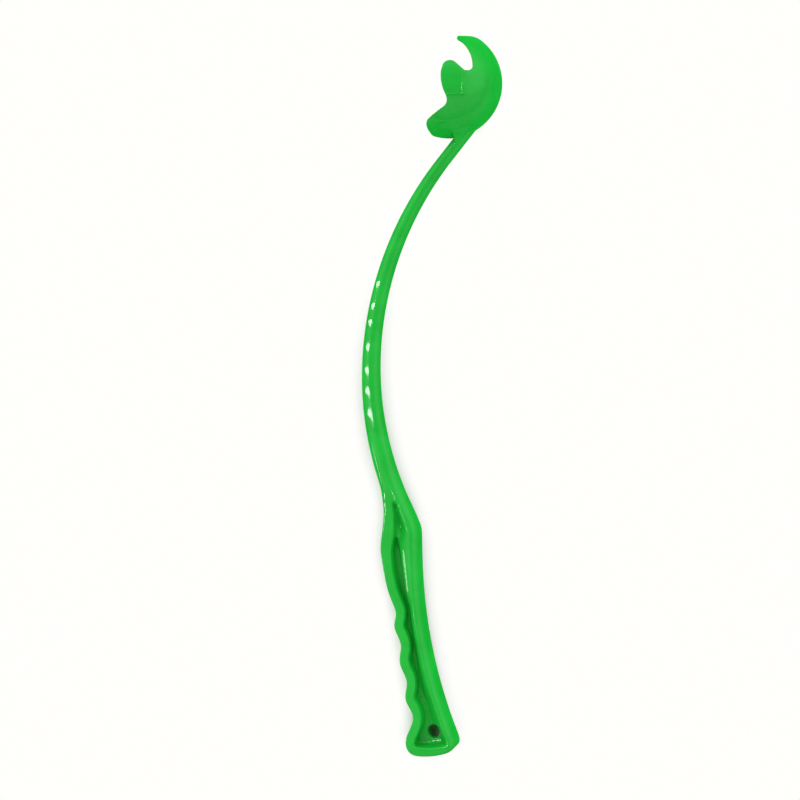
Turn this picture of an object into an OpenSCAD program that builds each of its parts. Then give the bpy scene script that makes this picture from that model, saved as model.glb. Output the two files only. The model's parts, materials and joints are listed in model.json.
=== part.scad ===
// Dog ball launcher stick: one plastic moulding with a ball cup, a bowed shaft and a hollowed grip.
// Drawn flat first: the ball's centre is the origin, X runs from the cup's mouth to its back,
// Y runs up the stick and Z is square to the stick's mid-plane, which is a mirror plane.
// The whole stick is then laid down the way it comes to rest on a floor.

/* [Ball cup] */
// Diameter of the ball that the cup holds
ball_d = 63.5; // [60:0.5:67]
// Gap between the ball and the cup
ball_gap = 0.25; // [0:0.05:0.6]
// Wall of the cup
cup_wall = 2; // [1.6:0.1:2.6]
// How far the side claws stand proud of the cup
pad_rise = 0.8; // [0.4:0.1:1.2]

/* [Top claw and notch] */
// Front of the top claw, behind the ball's centre
top_tip_x = 11.2; // [9:0.1:14]
// Height of the top claw's rounded corner above the ball's centre
top_tip_y = 25.2; // [24:0.1:27]
// Rounding of the top claw's corner
top_tip_r = 2; // [1:0.1:2.5]
// Radius of the top claw's inner edge
crescent_r = 32; // [31:0.1:33]
// Centre of the top claw's inner edge
crescent_c = [-7.8, -1.8]; // [-10:0.1:0]
// Centre of the round floor of the notch under the top claw
notch_c = [19.9, 6.2]; // [5:0.1:21]
// Radius of the floor of the notch
notch_r = 3; // [2:0.1:3.5]
// Length of the flat floor of the notch
notch_flat = 1.6; // [1:0.1:2]

/* [Side claws] */
// Centre of each side claw's round top
side_top_c = [9.6, 5]; // [4:0.1:11]
// Radius of each side claw's round top
side_top_r = 4.4; // [3.5:0.1:5]
// Centre of the long front edge of each side claw
side_edge_c = [31, -0.3]; // [-1:0.1:32]
// Radius of the long front edge of each side claw
side_edge_r = 26.7; // [25.5:0.1:27.5]
// Where the side claws spring from the cup, behind the ball's centre
side_root_x = 17.6; // [16:0.1:18]
// Foot of the side claws, below the ball's centre
side_foot = 11.7; // [10.5:0.1:13]

/* [Lower lip] */
// Centre of the bay between a side claw and the lip
bay_c = [2, -14]; // [-15:0.1:3]
// Radius of the bay
bay_r = 4.9; // [4:0.1:5.5]
// Centre of the lip's rounded end
lip_c = [-4.8, -29.3]; // [-31:0.1:-3]
// Radius of the lip's rounded end
lip_r = 5; // [4:0.1:6]

/* [Shaft] */
// Radius of the shaft's bow
bow_r = 215; // [205:1:230]
// Where the bow ends and the straight neck starts, from the ball's centre
neck_at = [-2.7, -48.8]; // [-52:0.1:0]
// How far the bow runs on below its middle, in degrees
bow_foot = 16.6; // [14:0.1:19]
// How far the bow runs on above its middle, in degrees
neck_a = 40; // [38:0.5:41]
// Top of the stretch that bends most, in degrees up the bow
bend_top = 27; // [22:0.5:32]
// Foot of the stretch that bends most, in degrees up the bow
bend_foot = 9; // [4:0.5:14]
// Width of the shaft at the cup, seen from the side of the stick
shaft_w_top = 7.5; // [6.5:0.1:8]
// Width of the shaft at the foot of the bow
shaft_w_foot = 14; // [12:0.1:15]
// Thickness of the shaft at the cup
shaft_t_top = 8.6; // [7:0.1:10]
// Thickness of the shaft at the foot of the bow
shaft_t_foot = 15; // [13:0.1:18]

/* [Neck] */
// Length of the neck, to where it ends inside the bowl's wall
neck_len = 34; // [32:0.5:36]
// Half the spread of the gussets under the cup
gusset_spread = 15; // [12:0.5:17]
// Where the gussets leave the shaft, behind the ball's centre
gusset_foot_x = 5; // [2:0.5:7]
// Rounding of the gussets' edges
gusset_r = 1; // [0.6:0.1:1.4]

/* [Grip] */
// From the foot of the bow to the middle of the grip's top, where the grip's own sizes start
shoulder_run = [5.5, -13.6]; // [-16:0.1:7]
// Width of the grip's top, where the shaft grows out of it
grip_top_w = 13.4; // [12:0.1:15]
// Thickness of the grip
grip_t = 21.5; // [19:0.5:25]
// Width of the rim round the grip's recesses
rim_w = 5.4; // [4.8:0.1:5.6]
// Thickness of the web between the two recesses
web_t = 4; // [3:0.5:6]
// Top of the recesses, from the grip's top
recess_top = -5; // [-8:0.5:-4]
// Corner of the shoulder on the palm side, from the grip's top
shoulder = [16.2, -26]; // [-28:0.1:18]
// Rounding of the shoulder
shoulder_r = 9; // [5:0.5:14]
// Height where the palm side starts to sweep out to the heel
palm_top = -41; // [-48:1:-33]
// Radius of the palm side's sweep
palm_r = 315; // [300:1:340]
// Rounding of the heel on the finger side
heel_r = 7; // [5:0.1:8]
// Rounding of the heel on the palm side
heel_corner_r = 4.5; // [3:0.1:6]
// Lowest point of the grip
grip_foot = -170.7; // [-174:0.1:-168]
// Radius of the heel's base
base_r = 47; // [44:1:60]
// Middle of the heel's base
base_x = 19.5; // [18:0.1:21]
// Diameter of the hang hole
hang_d = 9; // [6:0.5:10]
// Height of the hang hole's middle
hang_y = -156; // [-157:0.1:-153]
// Web left between the hang hole and the rim on the palm side
hang_wall = 1.6; // [1:0.1:2.5]

/* [Finger grooves] */
// Upper finger crest, from the middle of the grip's top
crest_1 = [-6.3, -39.2]; // [-41:0.1:-5]
// Second finger crest
crest_2 = [2.3, -86.8]; // [-88:0.1:4]
// Third finger crest
crest_3 = [5.9, -110.5]; // [-112:0.1:7]
// Fourth finger crest
crest_4 = [9.5, -134.5]; // [-136:0.1:11]
// Crest of the heel
crest_5 = [9.3, -163]; // [-164:0.1:11]
// Depths of the grooves from the top one to the one over the heel
groove_depth = [2.2, 3.3, 2.9, 3, 5.4]; // [2:0.1:6]
// How far each groove's deepest point leans down (over 1) or up (under 1)
groove_lean = [0.75, 3.3, 1, 1, 0.8]; // [0.5:0.05:4]

/* [Hidden] */
$fn = 96;
far = 120;
cup_ir = ball_d / 2 + ball_gap;
cup_or = cup_ir + cup_wall;
pad_or = cup_or + pad_rise;
plastic = "limegreen";

// Points of an arc, from one angle to another
function arc(c, r, from, to, steps = 12) =
    [for (i = [0:steps]) let (a = from + (to - from) * i / steps) c + r * [cos(a), sin(a)]];

// Mouth of the cup, from the top claw's tip down to the lip
function angle_of(p) = atan2(p.y, p.x);
function aim(a) = [cos(a), sin(a)];
top_root_a = angle_of(notch_c);
lip_root_a = angle_of(bay_c);
notch_floor = arc(notch_c, notch_r, top_root_a, -90);
notch_end = [notch_c.x - notch_flat, notch_c.y - notch_r];
side_top = arc(side_top_c, side_top_r, 45, 172);
side_foot_a = 180 + asin((side_foot + side_edge_c.y) / side_edge_r);
side_edge = arc(side_edge_c, side_edge_r, 173, side_foot_a);
lip_start = angle_of(bay_c - lip_c) + acos((lip_r + bay_r) / norm(bay_c - lip_c));
bay = arc(bay_c, bay_r, 15, lip_start - 180);
lip_end = arc(lip_c, lip_r, lip_start, 200);
mouth = concat(
    [[top_tip_x, far]],
    arc([top_tip_x + top_tip_r, top_tip_y], top_tip_r, 180, 230),
    arc(crescent_c, crescent_r, 50, 17, 24),
    notch_floor, [notch_end], side_top, side_edge, bay, lip_end,
    [[lip_c.x - lip_r, -far], [far, -far], [far, far]]);

// Where each claw springs from the bowl, and what is left of the mouth for the bowl
function out(a, from = [0, 0]) = from + 2 * far * aim(a);
top_claw_area = [notch_c, out(top_root_a), [far, 2 * far], [-far, 2 * far], out(135, notch_c)];
side_claw_top = side_top_c.y + 2 * side_top_r;
side_claw_area = [[-far, -side_foot], [side_root_x, -side_foot],
                  [side_root_x, side_claw_top], [-far, side_claw_top]];
lip_area = [bay_c, out(lip_root_a), [-far, -2 * far], [-far, bay_c.y]];
side_slope = (side_top[0].y - notch_end.y) / (side_top[0].x - notch_end.x);
side_root_top = notch_end.y + side_slope * (side_root_x - notch_end.x);
bay_end = bay[len(bay) - 1];
lip_line = lip_end[0] - bay_end;
lip_root = aim(lip_root_a) * cross(bay_end, lip_line) / cross(aim(lip_root_a), lip_line);
bowl_area = concat(
    [out(top_root_a)], notch_floor, [notch_end],
    [[side_root_x, side_root_top], [side_root_x, -side_foot], side_edge[len(side_edge) - 1]],
    bay, [lip_root, out(lip_root_a)]);

// Bow of the shaft: a point, the way to its right and its sizes at an angle up the bow
bow_c = neck_at + bow_r * [cos(neck_a), -sin(neck_a)];
function bow_point(a) = bow_c + bow_r * [-cos(a), sin(a)];
function bow_right(a) = [cos(a), -sin(a)];
function along(a, top, foot) = foot + (top - foot) * (a + bow_foot) / (neck_a + bow_foot);
function shaft_w(a) = along(a, shaft_w_top, shaft_w_foot);
function shaft_t(a) = along(a, shaft_t_top, shaft_t_foot);

// Ring of points round the shaft: squareness 2 is an ellipse, more is squarer
function power(x, p) = sign(x) * pow(abs(x), p);
function ring(c, right, w, t, squareness, sides = 28) =
    [for (i = [0:sides - 1]) let (
        a = 360 * i / sides,
        x = w / 2 * power(cos(a), 2 / squareness),
        z = t / 2 * power(sin(a), 2 / squareness))
        [c.x + right.x * x, c.y + right.y * x, z]];
function bow_ring(a) = ring(bow_point(a), bow_right(a), shaft_w(a), shaft_t(a), 2.3);
neck_tip = bow_point(neck_a) + neck_len * [sin(neck_a), cos(neck_a)];
neck_end = ring(neck_tip, bow_right(neck_a), shaft_w_top, shaft_t_top, 2.3);
grip_at = bow_point(-bow_foot) + shoulder_run;
shoulder_rings = [for (k = [0.35, 0.7, 1]) let (
    c = bow_point(-bow_foot) * (1 - k) + grip_at * k,
    r = bow_right(-bow_foot * (1 - k)))
    ring(c, r, shaft_w_foot * (1 - k) + grip_top_w * k, shaft_t_foot * (1 - k) + (grip_t - 2) * k,
         2.3 + 4 * k)];

// Corners of a gusset: on the bowl behind the lip, on the bowl behind the shaft, and down the shaft
function on_bowl(x, z) = [x, -sqrt(pow(cup_or, 2) - x * x - z * z), z];
gusset_front = on_bowl(cup_or * cos(lip_root_a) + 2.5, gusset_spread);
gusset_back = on_bowl(0.55 * cup_or, 0.7 * gusset_spread);
gusset_a = acos((bow_c.x - gusset_foot_x) / bow_r);
gusset_foot = [bow_point(gusset_a).x, bow_point(gusset_a).y, 0.3 * shaft_t_top];

// Outline of the grip, from the top's left end round by the fingers, the heel and the palm
crests = [[-grip_top_w / 2, 0], crest_1, crest_2, crest_3, crest_4, crest_5];
function groove(i, t) =
    crests[i] * (1 - t) + crests[i + 1] * t
    + [groove_depth[i] * pow(sin(180 * pow(t, groove_lean[i])), 2), 0];
finger_side = [for (i = [0:4]) for (k = [0:15]) groove(i, k / 16)];
heel_c = [crest_5.x + heel_r, grip_foot + heel_r];
base_c = [base_x, grip_foot + base_r];
palm_c = [shoulder.x + palm_r, palm_top];
// Middle of the heel's palm corner: inside both the base and the palm side by its own radius
corner_c = [for (y = [grip_foot:0.05:grip_foot + 20]) let (
    x = palm_c.x - sqrt(pow(palm_r + heel_corner_r, 2) - pow(y - palm_c.y, 2)))
    if (norm([x, y] - base_c) <= base_r - heel_corner_r) [x, y]][0];
palm_foot_a = angle_of(corner_c - palm_c);
palm_line_a = angle_of(shoulder - [grip_top_w / 2, 0]);
shoulder_c = [shoulder.x - shoulder_r, shoulder.y];
outline = concat(
    finger_side,
    arc(heel_c, heel_r, 180, 270, 8),
    arc(base_c, base_r, 270, angle_of(corner_c - base_c) + 360, 10),
    arc(corner_c, heel_corner_r, angle_of(corner_c - base_c), palm_foot_a + 180, 8),
    arc(palm_c, palm_r, palm_foot_a + 360, 180, 24),
    arc(shoulder_c, shoulder_r, 0, palm_line_a + 90, 6),
    [[grip_top_w / 2, 0]]);

// Both sides of the shaft over the grip, so that the recesses run to a point
shaft_foot = [for (k = [0.5, -0.5]) k * shaft_w_foot * bow_right(-bow_foot) - shoulder_run];

// Middle of the hang hole, a wall's width inside the rim on the palm side
function palm_x(y) = palm_c.x - sqrt(pow(palm_r, 2) - pow(y - palm_c.y, 2));
hang_c = [palm_x(hang_y) - rim_w - hang_wall - hang_d / 2, hang_y];

// How the stick lies: on two crests of the finger side and on the right claw's front edge
function claw_rim(a) =
    let (p = side_edge_c + side_edge_r * [cos(a), sin(a)])
    [p.x, p.y, -sqrt(pow(pad_or, 2) - pow(norm(p), 2))];
function on_grip(p, z) = [grip_at.x + p.x, grip_at.y + p.y, z];
foot_1 = on_grip(crest_1, -grip_t / 2);
foot_2 = on_grip(crest_5, -grip_t / 2);
function unit(v) = v / norm(v);
function floor_up(p) = unit(cross(foot_1 - p, foot_2 - p));
rim_points = [for (a = [173:1:side_foot_a]) claw_rim(a)];
function lowest(points, up) =
    let (heights = [for (p = points) p * up]) points[search(min(heights), heights)[0]];
foot_3 = lowest(rim_points, floor_up(lowest(rim_points, floor_up(rim_points[0]))));
up = floor_up(foot_3);
ahead = unit([0, 1, 0] - up * up.y);
side = cross(ahead, up);
function laid(p) = [p * side, p * ahead, p * up];
floor_z = foot_1 * up;
left_end = laid([bow_c.x - bow_r - shaft_w(0) / 2, bow_c.y, 0]).x;
right_end = cup_or;
top_end = laid([top_tip_x, sqrt(pow(cup_or, 2) - pow(top_tip_x, 2)), 0]).y;
foot_end = laid(on_grip([base_x, grip_foot], grip_t / 2)).y;
home = [(left_end + right_end) / 2, (top_end + foot_end) / 2, floor_z];

// Places that a joint or a mount needs, on the floor's own axes
bend_a = (bend_top + bend_foot) / 2;
echo(mid_plane_normal = laid([0, 0, 1]), stick_up = laid([0, 1, 0]));
echo(whip = laid([bow_point(bend_a).x, bow_point(bend_a).y, 0]) - home);
echo(top_claw = laid([cup_or * cos(top_root_a), cup_or * sin(top_root_a), 0]) - home);
echo(lower_lip = laid([cup_or * cos(lip_root_a), cup_or * sin(lip_root_a), 0]) - home);
echo(hang_hole = laid(on_grip(hang_c, 0)) - home);
echo(ball = laid([0, 0, 0]) - home);

module lay_down()
    translate(-home)
        multmatrix([[side.x, side.y, side.z, 0], [ahead.x, ahead.y, ahead.z, 0], [up.x, up.y, up.z, 0]])
            children();

// Solid between rings of points, closed at both ends
module skin(rings) {
    n = len(rings[0]);
    last = len(rings) - 1;
    polyhedron(
        points = [for (r = rings) each r],
        faces = concat(
            [[for (i = [0:n - 1]) i]],
            [[for (i = [n - 1:-1:0]) last * n + i]],
            [for (k = [0:last - 1]) for (i = [0:n - 1]) let (j = (i + 1) % n)
                each [[k * n + i, (k + 1) * n + i, (k + 1) * n + j],
                      [k * n + i, (k + 1) * n + j, k * n + j]]]));
}

// Slab through the whole stick, with an outline in the mid-plane
module slab(points, t = 2 * far) linear_extrude(height = t, center = true) polygon(points);

// Hollow ball, turned so that its seam and its poles fall in the open mouth
module shell(r, turn = [0, 0, 180]) {
    rotate(turn) difference() {
        sphere(r = r);
        sphere(r = cup_ir);
    }
}

module grip_frame() color(plastic) lay_down() translate(grip_at) {
    difference() {
        slab(outline, grip_t);
        linear_extrude(height = 2 * grip_t, center = true) recess_area();
    }
}

module recess_area() {
    intersection() {
        offset(delta = -rim_w) polygon(concat(outline, shaft_foot));
        translate([-far, recess_top - 4 * far]) square(4 * far);
    }
}

module grip_web() color(plastic) lay_down() translate(grip_at) {
    difference() {
        linear_extrude(height = web_t, center = true) recess_area();
        translate([hang_c.x, hang_c.y, 0]) cylinder(d = hang_d, h = 2 * web_t, center = true);
    }
}

module shaft_lower() color(plastic) lay_down()
    skin(concat([for (k = [0:6]) bow_ring(bend_foot - (bend_foot + bow_foot) * k / 6)], shoulder_rings));

module shaft_middle() color(plastic) lay_down()
    skin([for (k = [0:6]) bow_ring(bend_top - (bend_top - bend_foot) * k / 6)]);

module shaft_upper() color(plastic) lay_down()
    skin([for (k = [0:5]) bow_ring(neck_a - (neck_a - bend_top) * k / 5)]);

module neck() color(plastic) lay_down() {
    difference() {
        union() {
            skin([neck_end, bow_ring(neck_a)]);
            gussets();
        }
        sphere(r = cup_or);
    }
}

// Two webs in one wedge, from the sides of the shaft out to the sides of the bowl
module gussets() {
    hull() {
        for (m = [0, 1]) mirror([0, 0, m]) {
            for (p = [gusset_front, gusset_back, gusset_foot]) translate(p) sphere(r = gusset_r, $fn = 20);
        }
    }
}

module cup_bowl() color(plastic) lay_down() {
    intersection() {
        shell(cup_or, [0, 45, 0]);
        slab(bowl_area);
    }
}

module top_claw() color(plastic) lay_down() {
    intersection() {
        shell(cup_or);
        slab(mouth);
        slab(top_claw_area);
    }
}

module side_claw() {
    intersection() {
        shell(pad_or);
        slab(mouth);
        slab(side_claw_area);
        translate([-far, -far, 0]) cube(2 * far);
    }
}

module left_claw() color(plastic) lay_down() side_claw();

module right_claw() color(plastic) lay_down() mirror([0, 0, 1]) side_claw();

module lower_lip() color(plastic) lay_down() {
    intersection() {
        shell(cup_or);
        slab(mouth);
        slab(lip_area);
    }
}

grip_frame();
grip_web();
shaft_lower();
shaft_middle();
shaft_upper();
neck();
cup_bowl();
top_claw();
left_claw();
right_claw();
lower_lip();
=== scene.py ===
# %% [markdown]
# # A dog ball launcher in glossy green plastic
# The real stick is one injection moulding: a ball cup with claws, a bowed springy shaft and a hollowed
# grip with finger grooves. It has no screws and no seams, so the looks depend on two things: smooth
# surfaces that run into each other, and a clear, wet-looking gloss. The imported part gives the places,
# the joints and the sizes, and the pieces made here stand for its plainer solids.

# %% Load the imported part
import json
import math

import bmesh
import bpy
import numpy as np
from mathutils import Matrix, Vector


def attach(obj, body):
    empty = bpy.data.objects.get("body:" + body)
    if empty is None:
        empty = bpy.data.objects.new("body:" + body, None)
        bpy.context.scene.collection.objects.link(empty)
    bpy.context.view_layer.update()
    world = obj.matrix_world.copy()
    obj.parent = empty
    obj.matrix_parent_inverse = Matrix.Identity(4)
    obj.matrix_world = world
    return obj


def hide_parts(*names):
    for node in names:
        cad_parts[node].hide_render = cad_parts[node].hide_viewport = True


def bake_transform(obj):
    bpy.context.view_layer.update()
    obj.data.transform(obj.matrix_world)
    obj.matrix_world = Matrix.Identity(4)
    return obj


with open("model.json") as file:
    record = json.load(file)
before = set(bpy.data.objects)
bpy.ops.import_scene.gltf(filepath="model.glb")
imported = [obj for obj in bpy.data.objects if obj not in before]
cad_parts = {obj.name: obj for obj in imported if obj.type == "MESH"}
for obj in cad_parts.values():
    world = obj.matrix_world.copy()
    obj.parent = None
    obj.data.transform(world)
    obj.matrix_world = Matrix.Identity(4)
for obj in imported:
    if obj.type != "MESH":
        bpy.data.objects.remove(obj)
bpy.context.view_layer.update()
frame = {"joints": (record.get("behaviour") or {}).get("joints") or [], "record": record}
joints = {joint["name"]: joint for joint in frame["joints"]}

# %% [markdown]
# ## The stick's own frame
# The stick lies leaning on a floor, so its mid-plane is tilted in the shared frame. All shapes below are
# easier to describe in the stick's own frame, in millimetres: the ball's centre is the origin, u runs from
# the cup's mouth to its back, v runs up the stick and w is square to the mid-plane. The whip joint turns
# about w, and the opening in the cup is centred on the ball, so both can be read from the record.

# %% Axes and origin of the stick
MM = 0.001
w_axis = Vector(joints["shaft_whip"]["axis"]).normalized()
v_axis = Vector((0, w_axis.z, -w_axis.y)).normalized()
u_axis = v_axis.cross(w_axis)
cup_low, cup_high = (Vector(corner) for corner in frame["record"]["physics"]["openings"][0]["box_m"])
cup_half = (cup_high.y - cup_low.y) / 2
ball_centre = cup_high - Vector((cup_half, cup_half, cup_half))

turn = Matrix((u_axis, v_axis, w_axis)).transposed()
stick_to_row = Matrix.Translation(ball_centre) @ turn.to_4x4() @ Matrix.Scale(MM, 4)


def row_point(u, v, w=0.0):
    """A point of the stick, in the shared frame."""
    return stick_to_row @ Vector((u, v, w))


def heading(degrees):
    """Unit vector in the mid-plane, from an angle."""
    return np.array([math.cos(math.radians(degrees)), math.sin(math.radians(degrees))])


def angle_of(vector):
    """Angle of a vector in the mid-plane, in degrees."""
    return math.degrees(math.atan2(vector[1], vector[0]))


def arc(centre, radius, start, end, steps=16):
    """Points of an arc in the mid-plane, from one angle to another."""
    return [np.array(centre) + radius * heading(a) for a in np.linspace(start, end, steps + 1)]


print("ball centre:", [round(x, 4) for x in ball_centre])

# %% [markdown]
# ## Floor, camera and light
# The photo looks straight down at the stick on a white sheet, so the camera is above the floor with a
# moderate tele lens. The sheet has to stay white and still take a shadow: it glows white where the camera
# or a mirror sees it in the open, and is lit paper where something stands close to it. There its colour
# is painted darker the more closed-in it is, a painted shade on top of its real shadow. In the most
# closed-in places, as under the hang hole, the paper is painted dark green, a painted shade that stands in
# for the dim green light off the plastic round it. The light is a soft tent, bright all round and brightest
# beyond the cup. Overhead it is dim, because a bright roof mirrored in the plastic would make it look
# milky.

# %% Camera over the floor
CAMERA_HEIGHT = 1.1
LENS = 75.0
HEAD_FROM_AXIS = Vector((0.0306, 0.2027, 0.0))
CAMERA_ROLL = math.radians(-0.56)
camera_data = bpy.data.cameras.new("photo_camera")
camera_data.lens = LENS
camera = bpy.data.objects.new("photo_camera", camera_data)
camera.rotation_euler.z = CAMERA_ROLL
head_offset = Matrix.Rotation(CAMERA_ROLL, 3, "Z") @ HEAD_FROM_AXIS
camera.location = (ball_centre.x - head_offset.x, ball_centre.y - head_offset.y, CAMERA_HEIGHT)
bpy.context.scene.collection.objects.link(camera)
bpy.context.scene.camera = camera
bpy.context.scene.view_settings.view_transform = "Standard"
print("camera at", [round(x, 4) for x in camera.location])


# %% Helpers for materials
def new_material(name):
    """An empty material, and its tree of nodes."""
    material = bpy.data.materials.new(name)
    material.use_nodes = True
    material.node_tree.nodes.clear()
    return material, material.node_tree


def add(tree, kind, **settings):
    """A new node, with its properties and the values of its inputs set by name."""
    node = tree.nodes.new(kind)
    for key, value in settings.items():
        if hasattr(node, key):
            setattr(node, key, value)
        else:
            node.inputs[key.replace("_", " ")].default_value = value
    return node


def add_ramp(tree, first, last):
    """A colour ramp, from the places and colours of its two ends."""
    node = add(tree, "ShaderNodeValToRGB")
    for element, (place, colour) in zip(node.color_ramp.elements, (first, last)):
        element.position = place
        element.color = (*colour, 1)
    return node


# %% White floor that keeps a soft shadow, with painted shade near the stick
# Painted shade on the paper: its colour runs from this dark green where it is most closed in to plain paper
# in the open.
PAINTED_SHADE_GREEN = (0.34, (0.003, 0.13, 0.008))
OPEN_PAPER = (0.54, (0.9, 0.9, 0.885))


def white_sheet():
    """Paper that glows white in the open, and near the stick shows its shadow under a painted shade."""
    material, tree = new_material("white_sheet")
    paper = add(tree, "ShaderNodeBsdfDiffuse")
    # Painted shade: ambient occlusion darkens the paper's colour near the stick, down to dark green.
    painted_shade_tone = add_ramp(tree, PAINTED_SHADE_GREEN, OPEN_PAPER)
    glow = add(tree, "ShaderNodeEmission", Color=(1.0, 0.995, 0.975, 1), Strength=1.0)
    path = add(tree, "ShaderNodeLightPath")
    seen = add(tree, "ShaderNodeMath", operation="MAXIMUM")
    shown = add(tree, "ShaderNodeMath", operation="MAXIMUM")
    open_floor = add(tree, "ShaderNodeAmbientOcclusion", Distance=0.015)
    falloff = add(tree, "ShaderNodeMapRange", interpolation_type="SMOOTHSTEP", From_Min=0.4, From_Max=0.9)
    share = add(tree, "ShaderNodeMath", operation="MULTIPLY")
    mix = add(tree, "ShaderNodeMixShader")
    output = add(tree, "ShaderNodeOutputMaterial")
    tree.links.new(path.outputs["Is Camera Ray"], seen.inputs[0])
    tree.links.new(path.outputs["Is Glossy Ray"], seen.inputs[1])
    tree.links.new(seen.outputs[0], shown.inputs[0])
    tree.links.new(path.outputs["Is Transmission Ray"], shown.inputs[1])
    tree.links.new(shown.outputs[0], share.inputs[0])
    tree.links.new(open_floor.outputs["AO"], falloff.inputs["Value"])
    tree.links.new(falloff.outputs["Result"], share.inputs[1])
    # The occlusion also sets the painted shade in the paper's colour.
    tree.links.new(open_floor.outputs["AO"], painted_shade_tone.inputs["Fac"])
    tree.links.new(painted_shade_tone.outputs["Color"], paper.inputs["Color"])
    tree.links.new(share.outputs[0], mix.inputs[0])
    tree.links.new(paper.outputs[0], mix.inputs[1])
    tree.links.new(glow.outputs[0], mix.inputs[2])
    tree.links.new(mix.outputs[0], output.inputs["Surface"])
    return material


FLOOR_HALF = 6.0
floor_mesh = bpy.data.meshes.new("floor")
corners = [(-FLOOR_HALF, -FLOOR_HALF, 0), (FLOOR_HALF, -FLOOR_HALF, 0),
           (FLOOR_HALF, FLOOR_HALF, 0), (-FLOOR_HALF, FLOOR_HALF, 0)]
floor_mesh.from_pydata(corners, [], [(0, 1, 2, 3)])
floor_mesh.materials.append(white_sheet())
floor = bpy.data.objects.new("floor", floor_mesh)
bpy.context.scene.collection.objects.link(floor)
print("floor:", 2 * FLOOR_HALF, "m square")


# %% Soft tent of light
TENT_LEVEL = 1.42
TENT_SWING = 0.4
BRIGHT_SIDE = (-0.15, 1.0, 0.0)
HORIZON = (0.0, (0.5, 0.5, 0.5))
OVERHEAD = (0.97, (0.25, 0.25, 0.25))
BRIGHT_BAND = (0.35, 0.7)


def soft_tent():
    """World that is dim overhead, bright all round, and brightest on one side."""
    world = bpy.data.worlds.new("soft_tent")
    world.use_nodes = True
    tree = world.node_tree
    sky = tree.nodes["Background"]
    place = add(tree, "ShaderNodeTexCoord")
    parts = add(tree, "ShaderNodeSeparateXYZ")
    ring = add_ramp(tree, HORIZON, OVERHEAD)
    ring.color_ramp.interpolation = "EASE"
    for height in BRIGHT_BAND:
        ring.color_ramp.elements.new(height).color = (1, 1, 1, 1)
    facing = add(tree, "ShaderNodeVectorMath", operation="DOT_PRODUCT")
    facing.inputs[1].default_value = Vector(BRIGHT_SIDE).normalized()
    side = add(tree, "ShaderNodeMapRange", From_Min=-1.0, From_Max=1.0,
               To_Min=(1 - TENT_SWING) * TENT_LEVEL, To_Max=(1 + TENT_SWING) * TENT_LEVEL)
    tree.links.new(place.outputs["Generated"], parts.inputs[0])
    tree.links.new(place.outputs["Generated"], facing.inputs[0])
    tree.links.new(parts.outputs["Z"], ring.inputs["Fac"])
    tree.links.new(facing.outputs["Value"], side.inputs["Value"])
    tree.links.new(ring.outputs["Color"], sky.inputs["Color"])
    tree.links.new(side.outputs["Result"], sky.inputs["Strength"])
    return world


bpy.context.scene.world = soft_tent()
print("world:", bpy.context.scene.world.name)

# %% [markdown]
# ## Glossy green plastic
# Moulded polypropylene is one clear colour all through. Up close it is never flat: the pigment flows in
# faint streaks, the mould's polish is uneven, and the surface ripples a little where the plastic shrank.
# Noise textures on the object's own coordinates give all three: a slow drift in colour, a slight drift in
# roughness, and two bumps, one broad for the shrinkage and one fine for the mould's grain. A Layer Weight
# turns the shine down where the surface slants away, so that the white floor isn't mirrored along edges.

# %% Material of the moulding
DARKER_GREEN = (0.3, (0.008, 0.415, 0.032))
LIGHTER_GREEN = (0.7, (0.014, 0.50, 0.046))


def green_plastic():
    """Glossy plastic with faint flow in its colour, and slight waves."""
    material, tree = new_material("green_plastic")
    place = add(tree, "ShaderNodeTexCoord")
    flow = add(tree, "ShaderNodeTexNoise", Scale=38.0, Detail=3.0, Roughness=0.55, Distortion=0.6)
    colours = add_ramp(tree, DARKER_GREEN, LIGHTER_GREEN)
    polish = add(tree, "ShaderNodeTexNoise", Scale=160.0, Detail=2.0)
    gloss = add(tree, "ShaderNodeMapRange", From_Min=0.3, From_Max=0.7, To_Min=0.02, To_Max=0.045)
    slant = add(tree, "ShaderNodeLayerWeight", Blend=0.5)
    shine = add(tree, "ShaderNodeMapRange", From_Min=0.12, From_Max=0.45, To_Min=0.3, To_Max=0.0)
    sink = add(tree, "ShaderNodeTexNoise", Scale=60.0, Detail=1.0)
    sink_bump = add(tree, "ShaderNodeBump", Strength=0.02, Distance=0.0006)
    grain = add(tree, "ShaderNodeTexNoise", Scale=1400.0, Detail=2.0)
    grain_bump = add(tree, "ShaderNodeBump", Strength=0.008, Distance=0.0001)
    plastic = add(tree, "ShaderNodeBsdfPrincipled", IOR=1.45)
    output = add(tree, "ShaderNodeOutputMaterial")
    for texture in (flow, polish, sink, grain):
        tree.links.new(place.outputs["Object"], texture.inputs["Vector"])
    tree.links.new(flow.outputs["Fac"], colours.inputs["Fac"])
    tree.links.new(colours.outputs["Color"], plastic.inputs["Base Color"])
    tree.links.new(polish.outputs["Fac"], gloss.inputs["Value"])
    tree.links.new(gloss.outputs["Result"], plastic.inputs["Roughness"])
    tree.links.new(slant.outputs["Facing"], shine.inputs["Value"])
    tree.links.new(shine.outputs["Result"], plastic.inputs["Specular IOR Level"])
    tree.links.new(sink.outputs["Fac"], sink_bump.inputs["Height"])
    tree.links.new(grain.outputs["Fac"], grain_bump.inputs["Height"])
    tree.links.new(sink_bump.outputs["Normal"], grain_bump.inputs["Normal"])
    tree.links.new(grain_bump.outputs["Normal"], plastic.inputs["Normal"])
    tree.links.new(plastic.outputs["BSDF"], output.inputs["Surface"])
    return material


plastic = green_plastic()
print("material:", plastic.name, "with", len(plastic.node_tree.nodes), "nodes")

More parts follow.
